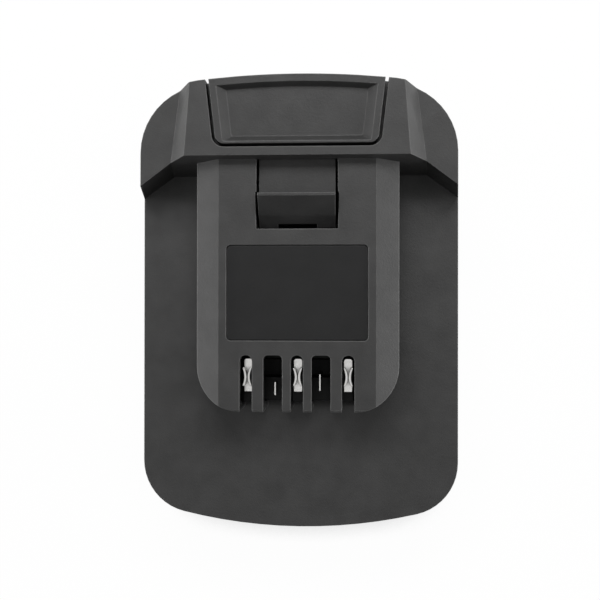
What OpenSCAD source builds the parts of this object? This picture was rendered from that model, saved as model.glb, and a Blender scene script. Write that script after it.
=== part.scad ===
// Slide-on adapter between a battery pack (under it) and a cordless tool (above it).
// X runs across, Y runs from the nose to the button end, Z points to the tool. The rest face is Z = 0.

/* [Body] */
// Width over the two long sides
body_w = 75; // [71:0.5:82]
// Length between the crowns of the two ends
body_l = 104.2; // [102:0.2:112]
// Radius of the two corners at the nose
nose_corner_r = 12.6; // [8:0.1:14]
// Radius of the crowned nose edge
nose_crown_r = 120; // [100:1:160]
// Radius of the two corners at the button end
tail_corner_r = 15.2; // [14:0.1:16.5]
// Radius of the crowned edge at the button end
tail_crown_r = 200; // [160:5:260]
// Wall of the moulded shells
wall = 2.2; // [1.8:0.1:2.6]
// Clear height of the bay between the two shells
bay_h = 5.3; // [5:0.1:8]
// Shadow line between the two shells
parting_gap = 0.3; // [0.2:0.05:0.5]
// Height of the lip that centres the shells on each other
lap_h = 1.6; // [1.2:0.1:2]

/* [Battery rails] */
// Clear width between the two rail lips
rail_gap_w = 54; // [48:0.5:57]
// Width across the two rail grooves
rail_groove_w = 61.6; // [60:0.2:64]
// Thickness of the rail lips
rail_lip_t = 3; // [2.4:0.1:4]
// Height of the rail grooves
rail_groove_h = 6.5; // [6:0.1:8]
// Thickness of the channel roof
roof_t = 3; // [2.8:0.1:4]
// Distance from the nose crown to the end stop of the channel
stop_set = 9.6; // [8:0.1:10]
// Distance from the button end to the square ends of the rails
rail_set = 6; // [5:0.1:9]
// Chamfer on the ends of the rail lips
mouth_flare = 1.5; // [0.8:0.1:2]
// Width of the pocket for the hook of the pack
hook_w = 22; // [16:0.5:24]
// Length of the pocket for the hook of the pack
hook_l = 9; // [6:0.5:10]
// Depth of the pocket for the hook of the pack
hook_d = 5; // [4:0.1:5.5]
// Wall round the pocket for the hook of the pack
hook_wall = 1.5; // [1.2:0.1:2]
// Distance from the button end to the pocket
hook_set = 10.1; // [9.5:0.1:14]

/* [Tongue] */
// Width over the two rails of the tongue
tongue_w = 46.1; // [44:0.1:50]
// Width of the flat top of the tongue
tongue_flat_w = 35.6; // [34:0.1:38]
// Width of the neck between the two rails
tongue_neck_w = 37; // [36:0.1:39]
// Distance from the nose crown to the comb end
nose_deck_l = 28.7; // [27:0.1:30]
// Height of the tongue above the deck
tongue_h = 12; // [11.5:0.1:14]
// Height of the slot under each rail
tool_groove_h = 6; // [5:0.1:7]
// Fall of the bevel along each rail
tongue_bevel = 2.5; // [1.5:0.1:3]
// Radius of the two corners at the comb end
tongue_corner_r = 10.2; // [8:0.1:12]
// Wall at the comb end
comb_wall = 1.5; // [1.2:0.1:2]
// Chamfer along the top of the comb end
comb_chamfer = 0.45; // [0.2:0.05:0.8]

/* [Contact slots] */
// Length of the slots
slot_l = 12.8; // [12.6:0.1:15]
// Width of the three narrow slots
narrow_slot_w = 2.8; // [2.6:0.1:3.2]
// Distance of the outer narrow slots from the middle
narrow_slot_x = 11.55; // [11:0.05:13]
// Width of the two wide slots
wide_slot_w = 4.25; // [4:0.05:4.6]
// Distance of the wide slots from the middle
wide_slot_x = 5.45; // [5:0.05:6]
// Corner radius of the wide slots
wide_slot_r = 1; // [0.6:0.1:1.6]

/* [Label] */
// Width of the label recess
label_w = 32; // [26:0.5:34]
// Distance from the slots to the label recess
label_gap = 3.3; // [2:0.1:6]
// Distance from the collar to the label recess
label_set = 19.8; // [18.5:0.1:21]
// Corner radius of the label recess
label_r = 1; // [0.5:0.1:2]
// Depth of the label recess
label_depth = 0.5; // [0.4:0.1:0.8]
// Thickness of the label film
label_t = 0.25; // [0.15:0.05:0.35]

/* [Collar] */
// Length of the collar from its front face to the button end
collar_l = 18; // [17:0.1:20]
// Height of the collar above the deck
collar_h = 14.5; // [13.8:0.1:17]
// Width of the flat top of the collar at its front
band_front_w = 50.5; // [49:0.1:53]
// Width of the flat top of the collar at the button end
band_tail_w = 47.7; // [47:0.1:50]
// Width between the creases of the shoulders at the front
crease_front_w = 58.2; // [57:0.1:61]
// Width between the creases of the shoulders at the button end
crease_tail_w = 53.3; // [52:0.1:55]
// Height of the creases above the deck
crease_h = 9.8; // [9.5:0.1:11]
// Height of the outer edge of the shoulders above the deck
shoulder_h = 9.2; // [8.5:0.1:9.4]
// How far the shoulders run past the front face at the sides
shoulder_reach = 6.1; // [4:0.1:7]
// How far the front face of the collar runs out at its foot
foot_run = 2.6; // [1:0.1:3.5]
// How far the shoulder fronts run out at their foot
shoulder_foot_run = 0.9; // [0.4:0.1:1.5]
// How far the sides of the collar lean in up to the shoulders
side_lean = 1.2; // [0.8:0.1:1.6]
// Width of the bar between the button and the tongue
crossbar_w = 1.9; // [1.6:0.1:2.4]

/* [Release button] */
// Width of the button at its front edge
button_w = 36.1; // [32:0.1:36.5]
// Angle by which the sides of the button open to the button end
button_flare = 6.6; // [3:0.1:7]
// Corner radius of the button
button_r = 2; // [1:0.1:3]
// Gap round the button
button_gap = 0.75; // [0.6:0.05:1.2]
// How far the button is pressed down
button_travel = 4.2; // [3.9:0.1:4.6]
// Rim of the dish at the sides
rim_side = 1.5; // [0.6:0.1:2]
// Rim of the dish at the front
rim_front = 0.5; // [0.4:0.1:1]
// Rim of the dish at the button end
rim_tail = 1.6; // [0.8:0.1:2]
// Depth of the dish
dish_depth = 1.4; // [0.8:0.1:1.8]
// Width of the dish bevel at the sides
dish_side = 2; // [1:0.1:3]
// Width of the dish bevel at the front
dish_front = 1.3; // [0.8:0.1:2]
// Width of the dish bevel at the button end
dish_tail = 0.9; // [0.7:0.1:2]
// Corner radius of the dish
dish_r = 0.6; // [0.4:0.1:1.2]
// Thickness of the skirt behind the fixed wall
skirt_t = 1.6; // [1.2:0.1:2]
// Overlap of the button under the edges of the collar at its sides
guide_lap = 0.5; // [0.3:0.1:0.6]

/* [Latch] */
// Width of the locking wedge and its bridge
latch_w = 17.3; // [14:0.1:18]
// Gap beside the locking wedge
latch_gap = 0.55; // [0.4:0.05:0.7]
// Extra room beside the wedge at its crest
latch_relief = 0.25; // [0.1:0.05:0.4]
// Distance from the collar to the locking face
latch_set = 8.5; // [7:0.1:9]
// Length of the ramp of the wedge
ramp_l = 7.35; // [6:0.05:8]
// Height of the crest above the tongue
crest_h = 3.5; // [2.5:0.1:3.6]
// Flat of the crest
crest_flat = 0.6; // [0.4:0.1:1]
// How far the bridge lies under the top of the tongue
bridge_drop = 1; // [0.8:0.1:1.2]
// Thickness of the bridge and the button flange
bridge_t = 2.4; // [2:0.1:2.8]
// Width of the notch at the foot of the ramp
notch_w = 8.8; // [6:0.1:10]
// Depth of the notch at the foot of the ramp
notch_d = 0.9; // [0.5:0.1:1.2]

/* [Button springs] */
// Distance of the springs from the middle
spring_x = 16.5; // [16:0.1:17]
// Distance of the springs from the button end
spring_set = 9.6; // [9:0.1:10.5]
// Mean diameter of the coils
spring_d = 6; // [5.4:0.1:6.4]
// Diameter of the spring wire
spring_wire = 0.7; // [0.5:0.05:0.8]
// Number of coils
spring_turns = 6; // [4:1:7]
// Diameter of the pegs inside the springs
peg_d = 4; // [3:0.1:4.2]
// Height of the lower pegs
peg_low_h = 4; // [2:0.1:5]
// Height of the upper pegs
peg_high_h = 2.5; // [1.5:0.1:3]

/* [Tool contacts] */
// Length of the contact strips
contact_l = 7.6; // [7:0.1:8]
// Width of the contact strips
contact_w = 1.9; // [1.6:0.05:2.2]
// Thickness of the contact strips and their tails
contact_t = 0.6; // [0.4:0.05:0.8]
// Distance from the comb end to the contact strips
contact_set = 4.1; // [3.6:0.1:4.2]
// Depth of the leaf tops under the top of the tongue
contact_depth = 2.8; // [2.5:0.1:3.5]
// Height of the contact leaves
leaf_h = 2.6; // [2:0.1:3.2]
// Thickness of the contact leaves
leaf_t = 0.28; // [0.2:0.02:0.36]
// Length of the contact leaves
leaf_l = 4.4; // [3.6:0.1:4.8]
// Gap between two leaves at their waist
leaf_gap = 0.6; // [0.4:0.05:0.8]
// How far each leaf bows in
leaf_bow = 0.55; // [0.3:0.05:0.6]
// Width of the contact tails
contact_tail_w = 1.2; // [0.8:0.1:1.6]
// Thickness of the signal pins
pin_t = 0.35; // [0.3:0.05:0.5]
// Length of the left signal pin
pin_left_l = 3; // [2:0.1:3.4]
// Length of the right signal pin
pin_right_l = 3.8; // [3:0.1:4]
// Distance from the comb end to the left signal pin
pin_left_set = 3.1; // [2.6:0.1:3.5]
// Distance from the comb end to the right signal pin
pin_right_set = 4.2; // [3.2:0.1:4.6]
// How far the right signal pin stands off the middle of its slot
pin_right_shift = 0.45; // [0:0.05:0.8]
// Height of the signal pins above the carrier
pin_h = 2.5; // [2:0.1:3]

/* [Contact carrier] */
// Width of the carrier
carrier_w = 29.6; // [28.5:0.1:30.4]
// Length of the step under the signal pins
carrier_step_l = 5.4; // [4.8:0.1:6]
// Height of the step above the circuit board
carrier_step_h = 7.2; // [6:0.1:8]
// Height of the base of the carrier
carrier_base_h = 2; // [1.5:0.1:3]
// Width of the ribs under the contacts
carrier_rib_w = 2.4; // [2.2:0.1:2.6]

/* [Circuit board] */
// Width of the board
board_w = 36; // [35.6:0.1:38]
// Distance from the collar to the end of the board
board_end_set = 20.2; // [18:0.1:22]
// How far the board runs past the comb end
board_set = 2.2; // [1.5:0.1:3]
// Thickness of the board
board_t = 1.6; // [1:0.1:1.6]
// Height of the posts under the board
board_post_h = 1.2; // [1:0.1:1.4]
// Diameter of the posts under the board
board_post_d = 5; // [4.5:0.1:6]
// Distance of the posts from the edges of the board
board_post_set = 3.4; // [3:0.1:3.6]

/* [Battery blades] */
// Width of the blade carrier under the channel roof
block_w = 37.6; // [36:0.1:39]
// Length of the blade carrier
block_l = 6.2; // [5.5:0.1:6.5]
// Depth of the blade carrier under the channel roof
block_h = 6; // [5.5:0.1:6]
// Thickness of the flange of the blade carrier
flange_t = 1.5; // [1.2:0.1:2]
// Width of the flange past the blade carrier at each side
flange_ear = 5.6; // [5.2:0.1:6]
// Width of the flange past the blade carrier at its long sides
flange_lip = 0.8; // [0.6:0.1:1]
// Distance from the stop of the channel to the blade carrier
block_set = 2; // [1.6:0.1:2.4]
// Distance of the power blades from the middle
blade_x = 15; // [13:0.1:15.6]
// Thickness of the power blades
blade_t = 0.8; // [0.6:0.05:1]
// Height of the power blades
blade_h = 5; // [4:0.1:5.2]
// Length of the power blades in front of the carrier
blade_l = 13; // [10:0.1:16]
// Thickness of the signal blade
signal_blade_t = 0.6; // [0.4:0.05:0.8]
// Height of the signal blade
signal_blade_h = 3.5; // [3:0.1:4]
// Length of the signal blade in front of the carrier
signal_blade_l = 8; // [6:0.1:10]
// Width of the solder tabs of the blades
tab_w = 3; // [2.4:0.1:3.2]
// Height of the solder tabs above the flange
tab_h = 2.8; // [2.6:0.1:2.8]

/* [Leads] */
// Diameter of the power leads
lead_d = 2; // [1.8:0.05:2.05]
// Diameter of the signal lead
signal_lead_d = 1.2; // [1:0.05:1.4]
// Length of the power leads over the board
lead_land = 7; // [5:0.1:9]
// Length of the signal lead over the board
signal_land = 2.5; // [1.5:0.1:3]

/* [Screws] */
// Shank diameter of the housing screws
screw_d = 2.6; // [2.2:0.1:3]
// Shank length of the housing screws
screw_l = 6.5; // [5:0.1:6.5]
// Head diameter of the housing screws
screw_head_d = 5; // [4.4:0.1:5.4]
// Head height of the housing screws
screw_head_h = 1.5; // [1.2:0.1:1.6]
// Distance of the housing screws from the middle
screw_x = 23.5; // [22.5:0.1:24]
// Distance of the rear housing screws from the button end
screw_tail_set = 25; // [24:0.5:30]
// Distance of the front housing screws from the nose
screw_nose_set = 25; // [24:0.5:30]
// Diameter of the screw bosses
boss_d = 6.5; // [6:0.1:7]
// Shank diameter of the small screws
small_screw_d = 2; // [1.6:0.1:2.2]
// Head diameter of the small screws
small_head_d = 3.8; // [3.2:0.1:4]
// Head height of the small screws
small_head_h = 1.1; // [0.8:0.1:1.2]

/* [Hidden] */
$fn = 48;

// Clearances
slide_gap = 0.4;
stop_gap = 0.35;
fit_gap = 0.2;
slot_gap = 0.05;
touch_gap = 0.02;
screw_gap = 0.05;
over = 1;
big = 200;

// Steps of the drawn arcs
corner_steps = 10;
crown_steps = 12;
small_steps = 5;
coil_steps = 12;
wire_sides = 6;
// Share of its depth by which the cut of the dish runs past the top
dish_past = 0.2;

// Levels
channel_z = rail_lip_t + rail_groove_h;
split_z = channel_z + roof_t;
deck_z = split_z + bay_h + wall;
bay_z = deck_z - wall;
tongue_z = deck_z + tongue_h;
collar_z = deck_z + collar_h;
bridge_z = tongue_z - bridge_drop;
bridge_low_z = bridge_z - bridge_t;
collar_under_z = bridge_z + stop_gap;
tongue_under_z = tongue_z - wall;
board_z = split_z + board_post_h;
board_top_z = board_z + board_t;
step_z = board_top_z + carrier_step_h;
leaf_top_z = tongue_z - contact_depth;
strip_top_z = leaf_top_z - leaf_h;
strip_z = strip_top_z - contact_t;
flange_z = split_z + flange_t;

// Places along the part
nose_y = -body_l / 2;
tail_y = body_l / 2;
front_y = tail_y - collar_l;
comb_y = nose_y + nose_deck_l;
stop_y = nose_y + stop_set;
rail_end_y = tail_y - rail_set;
hook_y = tail_y - hook_set - hook_l;
button_y = front_y + crossbar_w + button_gap;
lock_y = front_y - latch_set;
ramp_y = lock_y - ramp_l;
window_y = ramp_y - stop_gap;
label_l = front_y - label_set - comb_y - slot_l - label_gap;
label_y = front_y - label_set - label_l / 2;
spring_y = tail_y - spring_set;
contact_y = comb_y + contact_set;
contact_end_y = contact_y + contact_l;
carrier_y = comb_y + comb_wall + fit_gap;
carrier_end_y = contact_end_y - contact_t - slot_gap;
block_y = stop_y + block_set;
block_end_y = block_y + block_l;
board_y = comb_y - board_set;
board_end_y = front_y - board_end_set;

// Half widths
body_hw = body_w / 2;
window_hw = latch_w / 2 + latch_gap;
neck_in_hw = tongue_neck_w / 2 - wall;
collar_in_hw = band_tail_w / 2 - wall;
flange_hw = collar_in_hw - slide_gap;

// Centres of the crowned ends and of the corners that run into them
nose_cy = nose_y + nose_crown_r;
tail_cy = tail_y - tail_crown_r;
nose_cx = body_hw - nose_corner_r;
tail_cx = body_hw - tail_corner_r;
nose_corner_y = nose_cy - sqrt(pow(nose_crown_r - nose_corner_r, 2) - pow(nose_cx, 2));
tail_corner_y = corner_at(tail_cx);
nose_turn = atan2(nose_corner_y - nose_cy, nose_cx);
tail_turn = atan2(tail_corner_y - tail_cy, tail_cx);

// Places that several pieces share
screw_spots = [
    [screw_x, tail_y - screw_tail_set], [-screw_x, tail_y - screw_tail_set],
    [screw_x, nose_y + screw_nose_set], [-screw_x, nose_y + screw_nose_set]
];
board_posts = [
    [board_w / 2 - board_post_set, board_end_y - board_post_set],
    [-board_w / 2 + board_post_set, board_end_y - board_post_set]
];
board_rests = [[0, board_y + board_post_set], [0, board_end_y - board_post_set]];
carrier_screw_spots = [
    for (side = [-1, 1]) [side * (block_w / 2 + flange_ear / 2), block_y + block_l / 2]
];
contact_xs = [-narrow_slot_x, 0, narrow_slot_x];
tab_y = block_y + (block_l - tab_w) / 2;
blade_mid_z = channel_z - block_h / 2;
blade_tip = 1;
pilot_z = channel_z + roof_t / 3;
bite = roof_t / 2;
recess_l = 0.6;
recess_w = 0.16;
pin_left_x = -wide_slot_x;
pin_right_x = wide_slot_x - pin_right_shift;

// Parts on the board, in standard package sizes
transistor_w = 6.6;
transistor_l = 6.1;
transistor_h = 2.3;
transistor_tab_w = 5.3;
transistor_tab_l = 1.3;
transistor_leg_x = 2.2;
transistor_leg_l = 1.8;
chip_l = 4.9;
chip_w = 3.9;
chip_h = 1.5;
chip_lift = 0.12;
chip_span = 6;
chip_leg_w = 0.4;
chip_pitch = 1.27;
leg_w = 0.8;
leg_t = 0.5;
capacitor_d = 6.3;
capacitor_h = 7.7;
capacitor_neck_z = 1.2;
capacitor_neck = 0.4;
resistor_l = 3.2;
resistor_w = 1.6;
resistor_h = 0.6;
part_gap = 1;

// Places of the parts on the board
capacitor_spot = [-board_w / 5, board_end_y - part_gap - capacitor_d / 2];
transistor_spot = [board_w / 5, board_end_y - part_gap - transistor_tab_l - transistor_l / 2];
chip_spot = [0, contact_end_y + part_gap + chip_span / 2];
resistor_xs = [board_w / 5, board_w / 5 + resistor_l + part_gap];
resistor_y = contact_end_y + part_gap + resistor_w / 2;
resistor_spots = [for (x = resistor_xs) for (side = [-1, 1]) [side * x, resistor_y]];

// Points on an arc, with both ends
function arc(centre, r, from, to, steps) =
    [for (i = [0:steps]) let (at = from + (to - from) * i / steps) centre + r * [cos(at), sin(at)]];

// Points on an arc, without its ends
function arc_between(centre, r, from, to, steps) =
    [for (i = [1:steps - 1]) let (at = from + (to - from) * i / steps) centre + r * [cos(at), sin(at)]];

// Where the centre of a corner at the button end lies, so that it runs into the crown
function corner_at(x) = tail_cy + sqrt(pow(tail_crown_r - tail_corner_r, 2) - x * x);

// Plan of the body, drawn in by an inset
function body_plan(inset) = concat(
    arc([nose_cx, nose_corner_y], nose_corner_r - inset, nose_turn, 0, corner_steps),
    arc([tail_cx, tail_corner_y], tail_corner_r - inset, 0, tail_turn, corner_steps),
    arc_between([0, tail_cy], tail_crown_r - inset, tail_turn, 180 - tail_turn, crown_steps),
    arc([-tail_cx, tail_corner_y], tail_corner_r - inset, 180 - tail_turn, 180, corner_steps),
    arc([-nose_cx, nose_corner_y], nose_corner_r - inset, 180, 180 - nose_turn, corner_steps),
    arc_between([0, nose_cy], nose_crown_r - inset, -180 - nose_turn, nose_turn, crown_steps)
);

// Where the front face of the collar lies at a height above the deck
function front_at(h) = front_y - foot_run * (1 - h / collar_h);

// Plan of the collar, at a share of the height of its shoulders, drawn in by an inset
function collar_plan(lift, inset) = let (
    x = tail_cx - lift * side_lean,
    y = corner_at(x),
    turn = atan2(y - tail_cy, x)
) concat(
    [[x + tail_corner_r - inset, 0]],
    arc([x, y], tail_corner_r - inset, 0, turn, corner_steps),
    arc_between([0, tail_cy], tail_crown_r - inset, turn, 180 - turn, crown_steps),
    arc([-x, y], tail_corner_r - inset, 180 - turn, 180, corner_steps),
    [[inset - tail_corner_r - x, 0]]
);

// Plan of a rounded rectangle about the origin
function round_plan(w, l, r) = concat(
    arc([w / 2 - r, l / 2 - r], r, 0, 90, small_steps),
    arc([r - w / 2, l / 2 - r], r, 90, 180, small_steps),
    arc([r - w / 2, r - l / 2], r, 180, 270, small_steps),
    arc([w / 2 - r, r - l / 2], r, 270, 360, small_steps)
);

// Plan of the tongue, with its rounded comb end
function tongue_plan() = concat(
    arc([tongue_w / 2 - tongue_corner_r, comb_y + tongue_corner_r], tongue_corner_r, -90, 0, corner_steps),
    [[tongue_w / 2, front_y + crossbar_w], [-tongue_w / 2, front_y + crossbar_w]],
    arc([tongue_corner_r - tongue_w / 2, comb_y + tongue_corner_r], tongue_corner_r, 180, 270, corner_steps)
);

// Half width of the button at a place along the part, drawn in by an inset
function button_side(y, inset) =
    button_w / 2 + (y - button_y) * tan(button_flare) - inset / cos(button_flare);

// Where the side of the button meets the crowned end of the given radius
function button_meet(inset, r) = let (
    slope = tan(button_flare),
    base = button_side(0, inset),
    half = base * slope - tail_cy,
    root = pow(half, 2) - (1 + slope * slope) * (base * base + tail_cy * tail_cy - r * r),
    y = (sqrt(root) - half) / (1 + slope * slope)
) [base + slope * y, y];

// Angle to the end of the crowned edge of the floor of the dish
dish_meet = button_meet(rim_side + dish_side, tail_crown_r - rim_tail - dish_tail);
dish_turn = atan2(dish_meet.y - tail_cy, dish_meet.x);

// Plan of the button, drawn in at its sides, its front and its crowned end
function button_plan(side, front, tail, r) = let (
    low = button_y + front,
    corner_x = button_side(low + r, side) - r / cos(button_flare),
    meet = button_meet(side, tail_crown_r - tail)
) concat(
    arc([corner_x, low + r], r, -90, -button_flare, small_steps),
    [meet],
    arc_between([0, tail_cy], tail_crown_r - tail, dish_turn, 180 - dish_turn, crown_steps),
    [[-meet.x, meet.y]],
    arc([-corner_x, low + r], r, 180 + button_flare, 270, small_steps)
);

// Plan of the dish at a share of its depth
function dish_plan(share) = button_plan(
    rim_side + share * dish_side, rim_front + share * dish_front, rim_tail + share * dish_tail, dish_r
);

// Turns of a spring: rings of points that climb round the axis
function spring_ring(turn, low, high) = [
    for (k = [0:wire_sides - 1]) let (
        at = 360 * k / wire_sides,
        out = spring_d / 2 + spring_wire / 2 * cos(at),
        z = low + (high - low) * turn / spring_turns + spring_wire / 2 * sin(at)
    ) [out * cos(360 * turn), out * sin(360 * turn), z]
];
spring_rings = spring_turns * coil_steps;
spring_low_z = split_z + touch_gap + spring_wire / 2;
spring_high_z = bridge_low_z - stop_gap - spring_wire / 2;
spring_middle = [
    for (i = [0:spring_rings]) [
        spring_d / 2 * cos(360 * i / coil_steps), spring_d / 2 * sin(360 * i / coil_steps),
        spring_low_z + (spring_high_z - spring_low_z) * i / spring_rings
    ]
];
spring_gap = min([
    for (i = [0:spring_rings]) for (j = [i + coil_steps / 2:1:spring_rings])
        norm(spring_middle[i] - spring_middle[j])
]) - spring_wire;
echo(spring_gap = spring_gap);

// A flat plan raised from one level to another
module raise(plan, low, high) {
    translate([0, 0, low]) linear_extrude(high - low) polygon(plan);
}

// A box between two corners
module span(low, high) {
    translate(low) cube(high - low);
}

// Everything on the far side of the plane through three points, seen against their turn
module beyond(a, b, c) {
    n = cross(b - a, c - a);
    translate(a) rotate([0, acos(n.z / norm(n)), atan2(n.y, n.x)])
        translate([-big / 2, -big / 2, 0]) cube(big);
}

// Both sides of a shape that is drawn on the right
module both() {
    children();
    mirror([1, 0, 0]) children();
}

// A solid between two plans with the same number of points
module loft(low_plan, low, high_plan, high) {
    n = len(low_plan);
    points = concat([for (p = low_plan) [p.x, p.y, low]], [for (p = high_plan) [p.x, p.y, high]]);
    sides = [
        for (i = [0:n - 1]) let (j = (i + 1) % n) each [[i, n + i, n + j], [i, n + j, j]]
    ];
    polyhedron(points, concat([[for (i = [0:n - 1]) i]], [[for (i = [n - 1:-1:0]) n + i]], sides));
}

// A screw with a cross recess, its head under the origin and its tip up
module screw(d, l, head_d, head_h) {
    recess = [head_d * recess_l, head_d * recess_w, head_h];
    difference() {
        union() {
            translate([0, 0, -head_h]) cylinder(d = head_d, h = head_h);
            cylinder(d = d, h = l);
        }
        for (turn = [0, 90]) rotate(turn) translate([0, 0, -head_h])
            cube(recess, center = true);
    }
}

// The T-shaped tongue before it is hollowed
module tongue_block() {
    half = [
        [tongue_neck_w / 2, deck_z - wall / 2], [tongue_neck_w / 2, deck_z + tool_groove_h],
        [tongue_w / 2, deck_z + tool_groove_h], [tongue_w / 2, tongue_z - tongue_bevel],
        [tongue_flat_w / 2, tongue_z]
    ];
    section = concat(half, [for (i = [len(half) - 1:-1:0]) [-half[i].x, half[i].y]]);
    comb_edge = [0, comb_y, tongue_z - comb_chamfer];
    difference() {
        intersection() {
            raise(tongue_plan(), deck_z - wall, tongue_z + over);
            translate([0, front_y + big / 2, 0]) rotate([90, 0, 0]) linear_extrude(big) polygon(section);
        }
        beyond(comb_edge, comb_edge + [over, 0, 0], comb_edge + [0, over, over]);
    }
}

// The collar round the button: a flat band, a steep folded bevel and two flat shoulders over leaning sides
module collar_block() {
    band_front = [band_front_w / 2, front_y, collar_z];
    band_tail = [band_tail_w / 2, tail_y, collar_z];
    crease_front = [crease_front_w / 2, front_at(crease_h), deck_z + crease_h];
    crease_tail = [crease_tail_w / 2, tail_y, deck_z + crease_h];
    shoulder_edge = [body_hw - side_lean, front_y - shoulder_reach, deck_z + shoulder_h];
    shoulder_foot = [shoulder_edge.x, shoulder_edge.y - shoulder_foot_run, deck_z];
    front_foot = [0, front_at(0), deck_z];
    front_top = [0, front_y, collar_z];
    difference() {
        loft(collar_plan(0, 0), deck_z, collar_plan(collar_h / shoulder_h, 0), collar_z);
        both() intersection() {
            union() {
                beyond(band_front, crease_front, band_tail);
                beyond(band_tail, crease_front, crease_tail);
            }
            beyond(crease_front, shoulder_edge, crease_tail);
        }
        intersection() {
            beyond(front_foot, front_foot + [over, 0, 0], front_top);
            beyond(shoulder_foot, shoulder_edge, crease_front);
            mirror([1, 0, 0]) beyond(shoulder_foot, shoulder_edge, crease_front);
        }
    }
}

// One contact slot, open at the comb end
module slot(x, w, r) {
    plan = concat(
        arc([w / 2 - r, slot_l - r], r, 0, 90, small_steps),
        arc([r - w / 2, slot_l - r], r, 90, 180, small_steps),
        [[-w / 2, -over], [w / 2, -over]]
    );
    translate([x, comb_y, 0]) raise(plan, deck_z, tongue_z + over);
}

module upper_housing() color("#3b3b3b") difference() {
    union() {
        difference() {
            union() {
                raise(body_plan(0), split_z + parting_gap, deck_z);
                tongue_block();
                collar_block();
            }
            raise(body_plan(wall), split_z, bay_z);
            raise(body_plan(wall / 2), split_z, split_z + lap_h + fit_gap);
            span(
                [-neck_in_hw, comb_y + comb_wall, split_z],
                [neck_in_hw, front_y + crossbar_w, tongue_under_z]
            );
            intersection() {
                raise(body_plan(wall), split_z, collar_under_z);
                span(
                    [-collar_in_hw, front_y + crossbar_w, split_z],
                    [collar_in_hw, tail_y, collar_under_z]
                );
            }
            both() intersection() {
                raise(collar_plan(1, wall), split_z, deck_z + shoulder_h - wall);
                span([collar_in_hw + wall, front_y + wall, split_z], [body_hw, tail_y, collar_z]);
            }
        }
        for (spot = screw_spots) translate([spot.x, spot.y, split_z])
            cylinder(d = boss_d, h = bay_h + wall / 2);
        both() span(
            [window_hw + latch_relief, lock_y, bridge_low_z - button_travel],
            [window_hw + latch_relief + wall, front_y + crossbar_w, tongue_under_z + wall / 2]
        );
    }
    raise(button_plan(-button_gap, -button_gap, -over, button_r + button_gap), deck_z, collar_z + over);
    raise(
        button_plan(-button_gap - guide_lap - slide_gap, -button_gap, -over, button_r + button_gap),
        deck_z, collar_under_z
    );
    raise([
        [window_hw, window_y], [window_hw + latch_relief, lock_y],
        [window_hw + latch_relief, lock_y + crest_flat], [window_hw, lock_y + crest_flat],
        [window_hw, front_at(tongue_h)], [-window_hw, front_at(tongue_h)],
        [-window_hw, lock_y + crest_flat], [-window_hw - latch_relief, lock_y + crest_flat],
        [-window_hw - latch_relief, lock_y], [-window_hw, window_y]
    ], bay_z, tongue_z + over);
    span([-window_hw, lock_y + crest_flat, bay_z], [window_hw, front_y + crossbar_w + over, collar_under_z]);
    for (x = contact_xs) slot(x, narrow_slot_w, narrow_slot_w / 2 - slot_gap);
    for (side = [-1, 1]) slot(side * wide_slot_x, wide_slot_w, wide_slot_r);
    translate([0, label_y, 0])
        raise(round_plan(label_w, label_l, label_r), tongue_z - label_depth, tongue_z + over);
    for (spot = screw_spots) translate([spot.x, spot.y, split_z - over])
        cylinder(d = screw_d + 2 * screw_gap, h = screw_head_h + screw_l - roof_t + over + fit_gap);
}

module lower_housing() color("#353535") difference() {
    union() {
        difference() {
            raise(body_plan(0), 0, split_z);
            difference() {
                raise(body_plan(wall), wall, split_z + over);
                span(
                    [-rail_groove_w / 2 - wall, stop_y - wall, 0],
                    [rail_groove_w / 2 + wall, tail_y + over, split_z + 2 * over]
                );
            }
        }
        difference() {
            raise(body_plan(wall / 2 + fit_gap), split_z - wall, split_z + lap_h);
            raise(body_plan(wall), split_z - 2 * wall, split_z + lap_h + over);
        }
        span(
            [-hook_w / 2 - hook_wall, hook_y - hook_wall, split_z - over],
            [hook_w / 2 + hook_wall, hook_y + hook_l + hook_wall, channel_z + hook_d + hook_wall]
        );
        for (spot = concat(board_posts, board_rests)) translate([spot.x, spot.y, split_z - over])
            cylinder(d = board_post_d, h = board_post_h + over);
        for (side = [-1, 1]) translate([side * spring_x, spring_y, split_z - over])
            cylinder(d = peg_d, h = peg_low_h + over);
    }
    span([-rail_gap_w / 2, stop_y, -over], [rail_gap_w / 2, tail_y + over, channel_z]);
    span([-rail_groove_w / 2, stop_y, rail_lip_t], [rail_groove_w / 2, tail_y + over, channel_z]);
    span([-body_w, rail_end_y, -over], [body_w, tail_y + over, channel_z]);
    both() raise([
        [rail_gap_w / 2 - over, rail_end_y - mouth_flare - over],
        [rail_gap_w / 2 + mouth_flare + over, rail_end_y + over],
        [rail_gap_w / 2 - over, rail_end_y + over]
    ], -over, rail_lip_t + over);
    span([-hook_w / 2, hook_y, channel_z - over], [hook_w / 2, hook_y + hook_l, channel_z + hook_d]);
    span(
        [-block_w / 2 - slot_gap, block_y - slot_gap, channel_z - over],
        [block_w / 2 + slot_gap, block_end_y + slot_gap, split_z + over]
    );
    for (spot = screw_spots) translate([spot.x, spot.y, channel_z]) {
        translate([0, 0, -over]) cylinder(d = screw_d + 2 * fit_gap, h = roof_t + 2 * over);
        translate([0, 0, -over]) cylinder(d = screw_head_d + 2 * fit_gap, h = screw_head_h + over);
    }
    for (spot = board_posts) translate([spot.x, spot.y, pilot_z])
        cylinder(d = small_screw_d + 2 * screw_gap, h = roof_t + board_post_h);
    for (spot = carrier_screw_spots) translate([spot.x, spot.y, pilot_z])
        cylinder(d = small_screw_d + 2 * screw_gap, h = roof_t);
}

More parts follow.
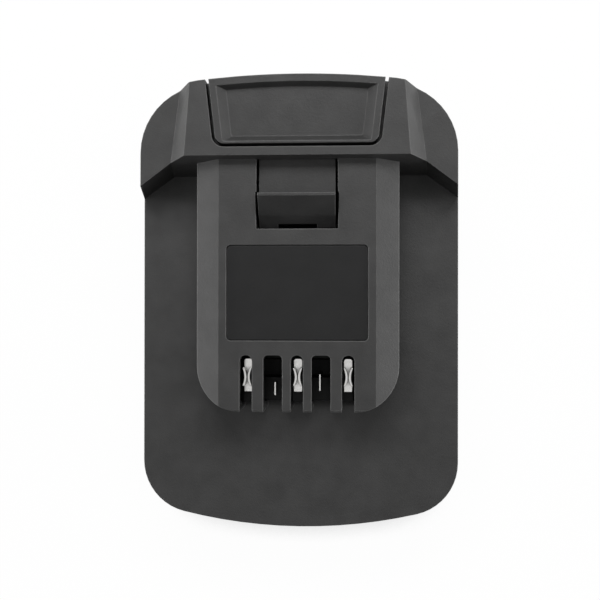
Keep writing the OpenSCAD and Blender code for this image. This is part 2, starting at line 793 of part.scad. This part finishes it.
// The wedge that locks in the tool, with the bridge that carries it
module latch_block() {
    section = [
        [ramp_y, bridge_low_z], [ramp_y, bridge_low_z + bridge_t / 3],
        [lock_y - crest_flat, tongue_z + crest_h], [lock_y, tongue_z + crest_h],
        [lock_y, bridge_z], [button_y + over, bridge_z], [button_y + over, bridge_low_z]
    ];
    difference() {
        rotate([90, 0, 90]) translate([0, 0, -latch_w / 2]) linear_extrude(latch_w) polygon(section);
        span(
            [-notch_w / 2, ramp_y - over, bridge_low_z - over],
            [notch_w / 2, ramp_y + notch_d, tongue_z]
        );
    }
}

module release_button() color("#3e3e3e") union() {
    guides = button_plan(-button_gap - guide_lap, 0, 0, button_r);
    difference() {
        raise(button_plan(0, 0, 0, button_r), bridge_low_z, collar_z);
        loft(dish_plan(1), collar_z - dish_depth, dish_plan(-dish_past), collar_z + dish_past * dish_depth);
    }
    raise(guides, bridge_low_z, bridge_z);
    intersection() {
        raise(body_plan(wall + slide_gap), bridge_low_z, bridge_z);
        span([-flange_hw, front_y + crossbar_w + slide_gap, 0], [flange_hw, tail_y, collar_z]);
    }
    difference() {
        raise(guides, deck_z + button_travel + slide_gap, bridge_z);
        raise(body_plan(wall), 0, collar_z);
    }
    intersection() {
        difference() {
            raise(body_plan(wall + slide_gap), deck_z - over, bridge_z);
            raise(body_plan(wall + slide_gap + skirt_t), 0, collar_z);
        }
        span([-flange_hw, button_y, 0], [flange_hw, tail_y, collar_z]);
    }
    for (side = [-1, 1]) translate([side * spring_x, spring_y, bridge_low_z - peg_high_h])
        cylinder(d = peg_d, h = peg_high_h + bridge_t / 2);
    latch_block();
}

module button_spring(side) color("#b9bcc0") translate([side * spring_x, spring_y, 0]) {
    rings = [for (i = [0:spring_rings]) spring_ring(i / coil_steps, spring_low_z, spring_high_z)];
    points = [for (ring = rings) for (p = ring) p];
    sides = [
        for (i = [0:spring_rings - 1]) for (k = [0:wire_sides - 1]) for (half = [0, 1]) let (
            here = wire_sides * i,
            next = here + wire_sides,
            beside = (k + 1) % wire_sides
        ) half == 0 ? [here + k, here + beside, next + k] : [here + beside, next + beside, next + k]
    ];
    ends = [
        [for (k = [wire_sides - 1:-1:0]) k],
        [for (k = [0:wire_sides - 1]) wire_sides * spring_rings + k]
    ];
    polyhedron(points, concat(sides, ends));
}
module button_spring_left() button_spring(-1);
module button_spring_right() button_spring(1);

// A fork contact: a strip with two leaves that bow towards each other, and a tail into the board
module fork_contact(x) color("#c9c9c7") translate([x, contact_y + contact_l / 2, 0]) {
    leaf_r = (pow(leaf_l / 2, 2) + leaf_bow * leaf_bow) / (2 * leaf_bow);
    span([-contact_w / 2, -contact_l / 2, strip_z], [contact_w / 2, contact_l / 2, strip_top_z]);
    both() intersection() {
        span([0, -leaf_l / 2, strip_z], [contact_w, leaf_l / 2, leaf_top_z]);
        translate([leaf_gap / 2 + leaf_r, 0, strip_z]) difference() {
            cylinder(r = leaf_r, h = leaf_top_z - strip_z);
            translate([0, 0, -over]) cylinder(r = leaf_r - leaf_t, h = leaf_top_z);
        }
    }
    span(
        [-contact_tail_w / 2, contact_l / 2 - contact_t, board_z - contact_t],
        [contact_tail_w / 2, contact_l / 2, strip_top_z]
    );
}
module contact_positive() fork_contact(contact_xs[0]);
module contact_signal() fork_contact(contact_xs[1]);
module contact_negative() fork_contact(contact_xs[2]);

// The room that a signal pin takes, with a gap round it
module pin_room(x, set, l, gap, low, high) {
    span(
        [x - pin_t / 2 - gap, comb_y + set - gap, low],
        [x + pin_t / 2 + gap, comb_y + set + l + gap, high]
    );
}
module signal_pin_left() color("#c6c6c2")
    pin_room(pin_left_x, pin_left_set, pin_left_l, 0, board_z - contact_t, step_z + pin_h);
module signal_pin_right() color("#c6c6c2")
    pin_room(pin_right_x, pin_right_set, pin_right_l, 0, board_z - contact_t, step_z + pin_h);

module contact_carrier() color("#1c1c1c") difference() {
    union() {
        span(
            [-carrier_w / 2, carrier_y, board_top_z],
            [carrier_w / 2, carrier_end_y, board_top_z + carrier_base_h]
        );
        span([-carrier_w / 2, carrier_y, board_top_z], [carrier_w / 2, carrier_y + carrier_step_l, step_z]);
        for (x = contact_xs) span(
            [x - carrier_rib_w / 2, carrier_y, board_top_z], [x + carrier_rib_w / 2, carrier_end_y, strip_z]
        );
    }
    pin_room(pin_left_x, pin_left_set, pin_left_l, slot_gap, board_z, step_z + over);
    pin_room(pin_right_x, pin_right_set, pin_right_l, slot_gap, board_z, step_z + over);
}

module circuit_board() color("#2d5a3d") difference() {
    span([-board_w / 2, board_y, board_z], [board_w / 2, board_end_y, board_top_z]);
    for (x = contact_xs) span(
        [x - contact_tail_w / 2 - slot_gap, contact_end_y - contact_t - slot_gap, board_z - over],
        [x + contact_tail_w / 2 + slot_gap, contact_end_y + slot_gap, board_top_z + over]
    );
    pin_room(pin_left_x, pin_left_set, pin_left_l, slot_gap, board_z - over, board_top_z + over);
    pin_room(pin_right_x, pin_right_set, pin_right_l, slot_gap, board_z - over, board_top_z + over);
    for (spot = board_posts) translate([spot.x, spot.y, board_z - over])
        cylinder(d = small_screw_d + 2 * fit_gap, h = board_t + 2 * over);
}

// Outline of a blade in its own plane: the blade itself, with a chamfered tip, and the solder tab above it
function blade_outline(h, l, gap) = let (
    low = blade_mid_z - h / 2 - gap,
    high = blade_mid_z + h / 2 + gap,
    tip = block_end_y + l,
    top = flange_z + tab_h
) [
    [tab_y - gap, low], [tip - blade_tip, low], [tip, low + blade_tip], [tip, high - blade_tip],
    [tip - blade_tip, high], [tab_y + tab_w + gap, high], [tab_y + tab_w + gap, top], [tab_y - gap, top]
];
module blade(x, t, h, l, gap) {
    rotate([90, 0, 90]) translate([0, 0, x - t / 2 - gap]) linear_extrude(t + 2 * gap)
        polygon(blade_outline(h, l, gap));
}
module blade_positive() color("#c4c4c0") blade(-blade_x, blade_t, blade_h, blade_l, 0);
module blade_negative() color("#c4c4c0") blade(blade_x, blade_t, blade_h, blade_l, 0);
module blade_signal() color("#c4c4c0") blade(0, signal_blade_t, signal_blade_h, signal_blade_l, 0);

module blade_carrier() color("#20201f") difference() {
    union() {
        span([-block_w / 2, block_y, channel_z - block_h], [block_w / 2, block_end_y, flange_z]);
        span(
            [-block_w / 2 - flange_ear, block_y - flange_lip, split_z],
            [block_w / 2 + flange_ear, block_end_y + flange_lip, flange_z]
        );
    }
    blade(-blade_x, blade_t, blade_h, blade_l, slot_gap);
    blade(blade_x, blade_t, blade_h, blade_l, slot_gap);
    blade(0, signal_blade_t, signal_blade_h, signal_blade_l, slot_gap);
    for (spot = carrier_screw_spots) translate([spot.x, spot.y, split_z - over])
        cylinder(d = small_screw_d + 2 * fit_gap, h = flange_t + 2 * over);
}

// A lead that lies along the part, soldered to a blade tab and to the board
module lead(side, x, t, d, land) {
    translate([x + side * (t / 2 + d / 2 + touch_gap), tab_y, board_top_z + d / 2 + touch_gap])
        rotate([-90, 0, 0]) cylinder(d = d, h = board_y + land - tab_y);
}
module lead_positive() color("#8c1f1a") lead(-1, -blade_x, blade_t, lead_d, lead_land);
module lead_negative() color("#141414") lead(1, blade_x, blade_t, lead_d, lead_land);
module lead_signal() color("#c9a227") lead(1, 0, signal_blade_t, signal_lead_d, signal_land);

module power_transistor() color("#1a1a1a") translate([transistor_spot.x, transistor_spot.y, board_top_z]) {
    span([-transistor_w / 2, -transistor_l / 2, 0], [transistor_w / 2, transistor_l / 2, transistor_h]);
    span(
        [-transistor_tab_w / 2, transistor_l / 2, 0],
        [transistor_tab_w / 2, transistor_l / 2 + transistor_tab_l, leg_t]
    );
    for (side = [-1, 1]) translate([side * transistor_leg_x, -transistor_l / 2, 0])
        span([-leg_w / 2, -transistor_leg_l, 0], [leg_w / 2, 0, leg_t]);
}

module control_chip() color("#191919") translate([chip_spot.x, chip_spot.y, board_top_z]) {
    span([-chip_l / 2, -chip_w / 2, chip_lift], [chip_l / 2, chip_w / 2, chip_h]);
    for (i = [-1.5:1:1.5]) translate([i * chip_pitch, 0, 0])
        span([-chip_leg_w / 2, -chip_span / 2, 0], [chip_leg_w / 2, chip_span / 2, leg_t]);
}

module capacitor() color("#9aa0a6") translate([capacitor_spot.x, capacitor_spot.y, board_top_z])
    rotate_extrude() polygon([
        [0, 0], [capacitor_d / 2, 0], [capacitor_d / 2, capacitor_neck_z],
        [capacitor_d / 2 - capacitor_neck, capacitor_neck_z + capacitor_neck],
        [capacitor_d / 2, capacitor_neck_z + 2 * capacitor_neck], [capacitor_d / 2, capacitor_h],
        [0, capacitor_h]
    ]);

module chip_resistors() color("#2a2a2a") for (spot = resistor_spots)
    translate([spot.x, spot.y, board_top_z + resistor_h / 2])
        cube([resistor_l, resistor_w, resistor_h], center = true);

module housing_screws() color("#8d9095") for (spot = screw_spots)
    translate([spot.x, spot.y, channel_z + screw_head_h]) screw(screw_d, screw_l, screw_head_d, screw_head_h);

module board_screws() color("#8d9095") for (spot = board_posts)
    translate([spot.x, spot.y, board_top_z]) rotate([180, 0, 0])
        screw(small_screw_d, board_t + board_post_h + bite, small_head_d, small_head_h);

module carrier_screws() color("#8d9095") for (spot = carrier_screw_spots)
    translate([spot.x, spot.y, flange_z]) rotate([180, 0, 0])
        screw(small_screw_d, flange_t + bite, small_head_d, small_head_h);

module label_film() color("#2b2b2b") translate([0, label_y, 0]) raise(
    round_plan(label_w - 2 * fit_gap, label_l - 2 * fit_gap, label_r - fit_gap),
    tongue_z - label_depth, tongue_z - label_depth + label_t
);

upper_housing();
lower_housing();
release_button();
button_spring_left();
button_spring_right();
contact_positive();
contact_signal();
contact_negative();
signal_pin_left();
signal_pin_right();
contact_carrier();
blade_carrier();
blade_positive();
blade_negative();
blade_signal();
circuit_board();
power_transistor();
control_chip();
capacitor();
chip_resistors();
lead_positive();
lead_negative();
lead_signal();
housing_screws();
board_screws();
carrier_screws();
label_film();
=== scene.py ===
import math

import bmesh
import bpy
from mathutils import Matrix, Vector


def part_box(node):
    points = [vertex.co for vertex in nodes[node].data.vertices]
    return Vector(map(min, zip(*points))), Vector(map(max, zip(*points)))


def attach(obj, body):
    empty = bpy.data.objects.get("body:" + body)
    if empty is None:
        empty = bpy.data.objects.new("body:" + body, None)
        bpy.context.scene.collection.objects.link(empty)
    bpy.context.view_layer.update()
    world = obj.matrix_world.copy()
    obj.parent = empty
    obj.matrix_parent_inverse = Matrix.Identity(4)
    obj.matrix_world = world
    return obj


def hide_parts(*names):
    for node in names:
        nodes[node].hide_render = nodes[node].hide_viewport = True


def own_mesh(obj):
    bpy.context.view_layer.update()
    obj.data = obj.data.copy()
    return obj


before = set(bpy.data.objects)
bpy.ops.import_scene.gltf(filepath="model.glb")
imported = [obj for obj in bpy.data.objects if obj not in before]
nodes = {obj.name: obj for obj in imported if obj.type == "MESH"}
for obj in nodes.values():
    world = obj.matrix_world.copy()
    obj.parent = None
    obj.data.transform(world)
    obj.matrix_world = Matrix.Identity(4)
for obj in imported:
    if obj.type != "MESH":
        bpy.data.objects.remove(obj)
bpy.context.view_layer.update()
scene = bpy.context.scene
MM = 0.001  # the frame is in metres


# Shader nodes: each function adds to a material's tree

def material(name):
    mat = bpy.data.materials.new(name)
    mat.use_nodes = True
    tree = mat.node_tree
    tree.nodes.clear()
    out = tree.nodes.new("ShaderNodeOutputMaterial")
    return mat, tree, out.inputs["Surface"]


def principled(name):
    mat, tree, surface = material(name)
    shader = tree.nodes.new("ShaderNodeBsdfPrincipled")
    tree.links.new(shader.outputs["BSDF"], surface)
    return mat, tree, shader


def noise(tree, scale, detail, rough=0.5, stretch=None):
    source = tree.nodes.new("ShaderNodeTexCoord").outputs["Object"]
    if stretch:
        mapping = tree.nodes.new("ShaderNodeMapping")
        mapping.inputs["Scale"].default_value = stretch
        tree.links.new(source, mapping.inputs["Vector"])
        source = mapping.outputs["Vector"]
    texture = tree.nodes.new("ShaderNodeTexNoise")
    texture.inputs["Scale"].default_value = scale
    texture.inputs["Detail"].default_value = detail
    texture.inputs["Roughness"].default_value = rough
    tree.links.new(source, texture.inputs["Vector"])
    return texture.outputs["Fac"]


def spread(tree, value, low, high, from_low=0.3, from_high=0.7):
    node = tree.nodes.new("ShaderNodeMapRange")
    node.inputs["From Min"].default_value = from_low
    node.inputs["From Max"].default_value = from_high
    node.inputs["To Min"].default_value = low
    node.inputs["To Max"].default_value = high
    tree.links.new(value, node.inputs["Value"])
    return node.outputs["Result"]


def combine(tree, operation, first, second):
    node = tree.nodes.new("ShaderNodeMath")
    node.operation = operation
    tree.links.new(first, node.inputs[0])
    tree.links.new(second, node.inputs[1])
    return node.outputs["Value"]


def tint(tree, value, start, end):
    node = tree.nodes.new("ShaderNodeMix")
    node.data_type = "RGBA"
    for socket, colour in ((node.inputs["A"], start), (node.inputs["B"], end)):
        if isinstance(colour, bpy.types.NodeSocket):
            tree.links.new(colour, socket)
        else:
            socket.default_value = (*colour, 1)
    tree.links.new(value, node.inputs["Factor"])
    return node.outputs["Result"]


def scaled(colour, factor):
    return [min(1, c * factor) for c in colour]


def open_air(tree, reach, samples):
    node = tree.nodes.new("ShaderNodeAmbientOcclusion")
    node.samples = samples
    node.inputs["Distance"].default_value = reach * MM
    return node


def rounded(tree, radius):
    node = tree.nodes.new("ShaderNodeBevel")
    node.samples = 6
    node.inputs["Radius"].default_value = radius * MM
    return node.outputs["Normal"]


def bump(tree, height, strength, depth, under):
    node = tree.nodes.new("ShaderNodeBump")
    node.inputs["Strength"].default_value = strength
    node.inputs["Distance"].default_value = depth * MM
    tree.links.new(height, node.inputs["Height"])
    tree.links.new(under, node.inputs["Normal"])
    return node.outputs["Normal"]


# Painted highlight on edges: lighter where the rounded normal leaves the flat one, on outer edges alone, in
# patches

def painted_edge_highlight(tree, soft):
    flat = tree.nodes.new("ShaderNodeNewGeometry").outputs["Normal"]
    match = tree.nodes.new("ShaderNodeVectorMath")
    match.operation = "DOT_PRODUCT"
    tree.links.new(soft, match.inputs[0])
    tree.links.new(flat, match.inputs[1])
    edge = spread(tree, match.outputs["Value"], 1, 0, from_low=0.975, from_high=1)
    air = open_air(tree, reach=0.5, samples=6).outputs["AO"]
    outer = spread(tree, air, 0, 1, from_low=0.75, from_high=0.97)
    patches = spread(tree, noise(tree, scale=500, detail=3), 0.45, 1)
    return combine(tree, "MULTIPLY", combine(tree, "MULTIPLY", edge, outer), patches)


# Materials. vary is how far the colour strays, edge is a rounding in mm, the highlight gain is how much
# lighter the painted highlight on an outer edge is, and the recess shade is how much of the colour is left
# in a recess, as painted shade

def plastic(name, colour, roughness, grain=0.4, spec=0.45, vary=0.18, edge=0.3, highlight_gain=3.5):
    uneven = 0.06
    mat, tree, shader = principled(name)
    blotch = spread(tree, noise(tree, scale=180, detail=4), 0, 1)
    pebble = noise(tree, scale=1700, detail=3, rough=0.6)
    speck = noise(tree, scale=4200, detail=3, rough=0.6)
    soft = rounded(tree, edge)
    moulded = tint(tree, blotch, scaled(colour, 1 - vary), scaled(colour, 1 + vary))
    # painted highlight: outer edges made lighter than the moulded colour
    edge_highlighted = tint(tree, painted_edge_highlight(tree, soft), moulded, scaled(colour, highlight_gain))
    tree.links.new(edge_highlighted, shader.inputs["Base Color"])
    matt = spread(tree, speck, roughness - uneven, roughness + uneven)
    tree.links.new(matt, shader.inputs["Roughness"])
    shader.inputs["Specular IOR Level"].default_value = spec
    fine = bump(tree, speck, grain, depth=0.06, under=soft)
    coarse = bump(tree, pebble, grain, depth=0.1, under=fine)
    tree.links.new(coarse, shader.inputs["Normal"])
    return mat


def lead(name, colour):
    return plastic(name, colour, 0.45, grain=0.1, spec=0.5, vary=0.05, edge=0.1, highlight_gain=1.1)


def metal(name, colour, roughness, stretch=None, vary=0.1, recess_shade=0.75, grain=0.12):
    uneven, edge = 0.04, 0.1
    mat, tree, shader = principled(name)
    streak = noise(tree, scale=900, detail=3, rough=0.6, stretch=stretch)
    bare = tint(tree, spread(tree, streak, 0, 1), scaled(colour, 1 - vary), scaled(colour, 1 + vary))
    # painted shade: the colour darkens where the metal sits in a recess, hemmed in by nearby walls
    air = open_air(tree, reach=1.6, samples=8).outputs["AO"]
    clear = spread(tree, air, 0, 1, from_low=0.25, from_high=0.75)
    tree.links.new(tint(tree, clear, scaled(colour, recess_shade), bare), shader.inputs["Base Color"])
    shader.inputs["Metallic"].default_value = 1
    matt = spread(tree, streak, roughness - uneven, roughness + uneven)
    tree.links.new(matt, shader.inputs["Roughness"])
    drawn = bump(tree, streak, grain, depth=0.04, under=rounded(tree, edge))
    tree.links.new(drawn, shader.inputs["Normal"])
    return mat


looks = {
    "housing": plastic("housing_plastic", (0.0332, 0.033, 0.0327), 0.53, spec=0.5),
    "button": plastic("button_plastic", (0.03, 0.0298, 0.0296), 0.53, spec=0.47),
    "carrier": plastic("carrier_plastic", (0.004, 0.004, 0.004), 0.45, grain=0.15, spec=0.25),
    "label": plastic("label_film", (0.0172, 0.0172, 0.0175), 0.62, grain=0.12, spec=0.2, vary=0.08),
    "chip": plastic("chip_plastic", (0.015, 0.015, 0.016), 0.6, grain=0.2),
    "red": lead("lead_red", (0.3, 0.02, 0.018)),
    "black": lead("lead_black", (0.02, 0.02, 0.02)),
    "yellow": lead("lead_yellow", (0.55, 0.38, 0.03)),
    "board": plastic(
        "board_laminate", (0.008, 0.02, 0.012), 0.32, grain=0.12, spec=0.3, vary=0.12, edge=0.1),
    "tin": metal(
        "contact_tin", (0.94, 0.93, 0.91), 0.21, stretch=(1, 1, 0.15), vary=0.04, recess_shade=0.3, grain=0.04),
    "spring": metal("spring_steel", (0.6, 0.6, 0.62), 0.25),
    "screw": metal("screw_steel", (0.42, 0.43, 0.45), 0.35),
    "can": metal("can_aluminium", (0.72, 0.73, 0.75), 0.3, stretch=(1, 1, 0.1)),
}
wears = {
    "upper_housing": "housing", "lower_housing": "housing", "release_button": "button",
    "contact_carrier": "carrier", "blade_carrier": "carrier", "label_film": "label",
    "power_transistor": "chip", "control_chip": "chip", "chip_resistors": "chip", "capacitor": "can",
    "circuit_board": "board", "lead_positive": "red", "lead_negative": "black", "lead_signal": "yellow",
    "housing_screws": "screw", "board_screws": "screw", "carrier_screws": "screw",
    "contact_positive": "tin", "contact_signal": "tin", "contact_negative": "tin",
    "signal_pin_left": "tin", "signal_pin_right": "tin",
    "blade_positive": "tin", "blade_negative": "tin", "blade_signal": "tin",
    "button_spring_left": "spring", "button_spring_right": "spring",
}


# CAD nodes: a material each, and smooth shading over the drawn arcs with the real edges kept

for name, look in wears.items():
    node = nodes[name]
    node.data.materials.clear()
    node.data.materials.append(looks[look])
    weld = node.modifiers.new("weld", "WELD")
    weld.merge_threshold = 0.002 * MM
    split = node.modifiers.new("edges", "EDGE_SPLIT")
    split.split_angle = math.radians(24)
    node.modifiers.new("normals", "WEIGHTED_NORMAL")


# Objects and meshes

def added(name, data):
    obj = bpy.data.objects.new(name, data)
    scene.collection.objects.link(obj)
    return obj


def built(name, bm, mat):
    mesh = bpy.data.meshes.new(name)
    bm.to_mesh(mesh)
    bm.free()
    mesh.materials.append(mat)
    return added(name, mesh)


def circle(sides):
    turns = [2 * math.pi * k / sides for k in range(sides)]
    return [(math.cos(turn), math.sin(turn)) for turn in turns]


def skin(bm, rings):
    for a, b in zip(rings, rings[1:]):
        for k in range(len(a)):
            n = (k + 1) % len(a)
            bm.faces.new((a[k], a[n], b[n], b[k])).smooth = True


# Button springs, wound as smooth wire

def wound(name):
    turns, per_turn, sides = 6, 40, 10
    wire = 0.35 * MM  # radius
    low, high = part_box(name)
    middle = (low + high) / 2
    radius = (high.x - low.x) / 2 - wire
    bottom, top = low.z + wire, high.z - wire
    up = Vector((0, 0, 1))
    bm = bmesh.new()
    rings = []
    count = turns * per_turn
    for i in range(count + 1):
        at = 2 * math.pi * i / per_turn
        out = Vector((math.cos(at), math.sin(at), 0))
        centre = Vector((middle.x, middle.y, bottom + (top - bottom) * i / count)) + out * radius
        rings.append([bm.verts.new(centre + wire * (out * x + up * z)) for x, z in circle(sides)])
    skin(bm, rings)
    bm.faces.new(rings[0][::-1])
    bm.faces.new(rings[-1])
    bmesh.ops.recalc_face_normals(bm, faces=bm.faces)
    obj = built(name + "_wire", bm, looks["spring"])
    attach(obj, "housing")
    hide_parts(name)
    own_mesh(obj)


wound("button_spring_left")
wound("button_spring_right")


# Fork contacts: a waisted strip with one rounded end, two bowed leaves on it and a tail under it

def prism(bm, outline, low, high, soft):
    bottom = [bm.verts.new((x, y, low)) for x, y in outline]
    top = [bm.verts.new((x, y, high)) for x, y in outline]
    bm.faces.new(bottom[::-1])
    cap = bm.faces.new(top)
    count = len(outline)
    for k in range(count):
        n = (k + 1) % count
        bm.faces.new((bottom[k], bottom[n], top[n], top[k]))
    if soft:
        bmesh.ops.bevel(bm, geom=list(cap.edges), offset=soft, segments=3, profile=0.5, affect="EDGES")


def mirrored(outline):
    return [(-x, y) for x, y in outline[::-1]]


def fork(name):
    # Outlines in mm from the middle of the node
    half_l, half_w, waist = 3.8, 0.95, 0.42
    corner, corner_steps = 0.45, 5
    leaf_half, leaf_shift, leaf_steps = 2.1, 0.2, 16
    outer_gap, outer_bow = 0.62, 0.5
    inner_gap, inner_bow = 0.13, 0.62
    tail_half, tail_l = 0.6, 0.6
    along = [leaf_half * (2 * i / leaf_steps - 1) for i in range(leaf_steps + 1)]
    side = [(half_w, -half_l)]
    for y in along:
        pinch = waist / 2 * (1 + math.cos(math.pi * y / leaf_half))
        side.append((half_w - pinch, y - leaf_shift))
    for i in range(corner_steps + 1):
        at = math.radians(90 * i / corner_steps)
        side.append((half_w - corner * (1 - math.cos(at)), half_l - corner * (1 - math.sin(at))))
    strip = side + mirrored(side)
    outer = [(outer_gap + outer_bow * (y / leaf_half) ** 2, y - leaf_shift) for y in along]
    inner = [(inner_gap + inner_bow * (y / leaf_half) ** 2, y - leaf_shift) for y in along]
    leaf = outer + inner[::-1]
    tail_side = [(tail_half, half_l - tail_l), (tail_half, half_l)]
    tail = tail_side + mirrored(tail_side)

    low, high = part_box(name)
    middle = (low + high) / 2
    leaf_h, strip_t, overlap = 2.6 * MM, 0.6 * MM, 0.02 * MM
    strip_soft, leaf_soft = 0.07 * MM, 0.1 * MM
    strip_top = high.z - leaf_h
    strip_low = strip_top - strip_t
    bm = bmesh.new()
    for outline, bottom, top, soft in (
        (strip, strip_low, strip_top, strip_soft),
        (leaf, strip_top - overlap, high.z, leaf_soft),
        (mirrored(leaf), strip_top - overlap, high.z, leaf_soft),
        (tail, low.z, strip_low + overlap, 0),
    ):
        prism(bm, [(middle.x + x * MM, middle.y + y * MM) for x, y in outline], bottom, top, soft)
    bmesh.ops.recalc_face_normals(bm, faces=bm.faces)
    obj = built(name + "_fork", bm, looks["tin"])
    obj.data.shade_smooth()
    obj.data.set_sharp_from_angle(angle=math.radians(40))
    facing = obj.modifiers.new("normals", "WEIGHTED_NORMAL")
    facing.keep_sharp = True
    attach(obj, "housing")
    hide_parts(name)


for name in ("contact_positive", "contact_signal", "contact_negative"):
    fork(name)


# Floor: a glow where it is seen, and plain white paint for the light it throws back. The glow darkens close
# to the part on the nose side, where the photograph has its shadow

def floor_white():
    white, shown = 0.97, 0.97
    shade = 0.7
    mat, tree, surface = material("floor_white")
    paint = tree.nodes.new("ShaderNodeBsdfDiffuse")
    paint.inputs["Color"].default_value = (white, white, white, 1)
    lean = tree.nodes.new("ShaderNodeCombineXYZ")
    lean.inputs["Y"].default_value = 1
    # painted shadow: the glow darkens where the part is near on the +Y side
    near = open_air(tree, reach=12.5, samples=16)
    tree.links.new(lean.outputs["Vector"], near.inputs["Normal"])
    lit = spread(tree, near.outputs["AO"], 0, 1, from_low=0.5, from_high=0.74)
    glow = tree.nodes.new("ShaderNodeEmission")
    tree.links.new(tint(tree, lit, (shade, shade, shade), (1, 1, 1)), glow.inputs["Color"])
    path = tree.nodes.new("ShaderNodeLightPath").outputs
    reflected = combine(tree, "MAXIMUM", path["Is Glossy Ray"], path["Is Transmission Ray"])
    seen = combine(tree, "MAXIMUM", path["Is Camera Ray"], reflected)
    mix = tree.nodes.new("ShaderNodeMixShader")
    tree.links.new(spread(tree, seen, 0, shown, from_low=0, from_high=1), mix.inputs["Fac"])
    tree.links.new(paint.outputs["BSDF"], mix.inputs[1])
    tree.links.new(glow.outputs["Emission"], mix.inputs[2])
    tree.links.new(mix.outputs["Shader"], surface)
    return mat


def floor():
    sides = 64
    flat, sweep, top = 2.6, 0.3, 0.42  # metres: the flat disc, the curve at its rim and the wall's height
    arc = [math.radians(at) for at in range(10, 91, 10)]
    profile = [(flat, 0)]
    profile += [(flat + sweep * math.sin(at), sweep * (1 - math.cos(at))) for at in arc]
    profile.append((flat + sweep, top))
    bm = bmesh.new()
    rings = [[bm.verts.new((r * x, r * y, z)) for x, y in circle(sides)] for r, z in profile]
    bm.faces.new(rings[0])
    skin(bm, rings[::-1])
    obj = built("floor", bm, floor_white())
    obj.location.z = -0.1 * MM


# Lamps: degrees round from +X and up from the floor, distance and size in metres, power in watts

def softbox(name, around, above, away, wide, tall, power):
    turn, rise = math.radians(around), math.radians(above)
    aim = Vector((math.cos(turn) * math.cos(rise), math.sin(turn) * math.cos(rise), math.sin(rise)))
    light = bpy.data.lights.new(name, "AREA")
    light.shape = "RECTANGLE"
    light.size = wide
    light.size_y = tall
    light.energy = power
    obj = added(name, light)
    obj.location = away * aim
    obj.rotation_euler = (-aim).to_track_quat("-Z", "Y").to_euler()


floor()
softbox("left_low", 180, 7, 0.8, 0.6, 0.16, 4.6)
softbox("left_high", 180, 50, 0.8, 0.6, 0.25, 0.87)
softbox("right_low", 0, 7, 0.8, 0.6, 0.16, 3.1)
softbox("right_mid", 0, 17, 0.8, 0.6, 0.2, 2.0)
softbox("right_high", 0, 50, 0.8, 0.6, 0.25, 0.62)
softbox("tail_box", 90, 48, 0.5, 0.38, 0.19, 1.9)
softbox("nose_box", -90, 60, 0.8, 0.6, 0.3, 0.3)
softbox("top_box", 90, 89.9, 0.8, 0.4, 0.4, 0.33)

world = bpy.data.worlds.new("studio")
scene.world = world
world.use_nodes = True
world.node_tree.nodes["Background"].inputs["Color"].default_value = (1, 1, 1, 1)
world.node_tree.nodes["Background"].inputs["Strength"].default_value = 0.01


# Camera, fitted to the photograph

lens = bpy.data.cameras.new("camera")
lens.sensor_fit = "HORIZONTAL"
lens.sensor_width = 36
lens.lens = 50.59
lens.clip_start = 0.01
camera = added("camera", lens)
camera.location = (0.010755, 0.001269, 0.221069)
camera.rotation_euler = (0.0032, 0.0531, 0.0013)
scene.camera = camera
scene.view_settings.view_transform = "Standard"
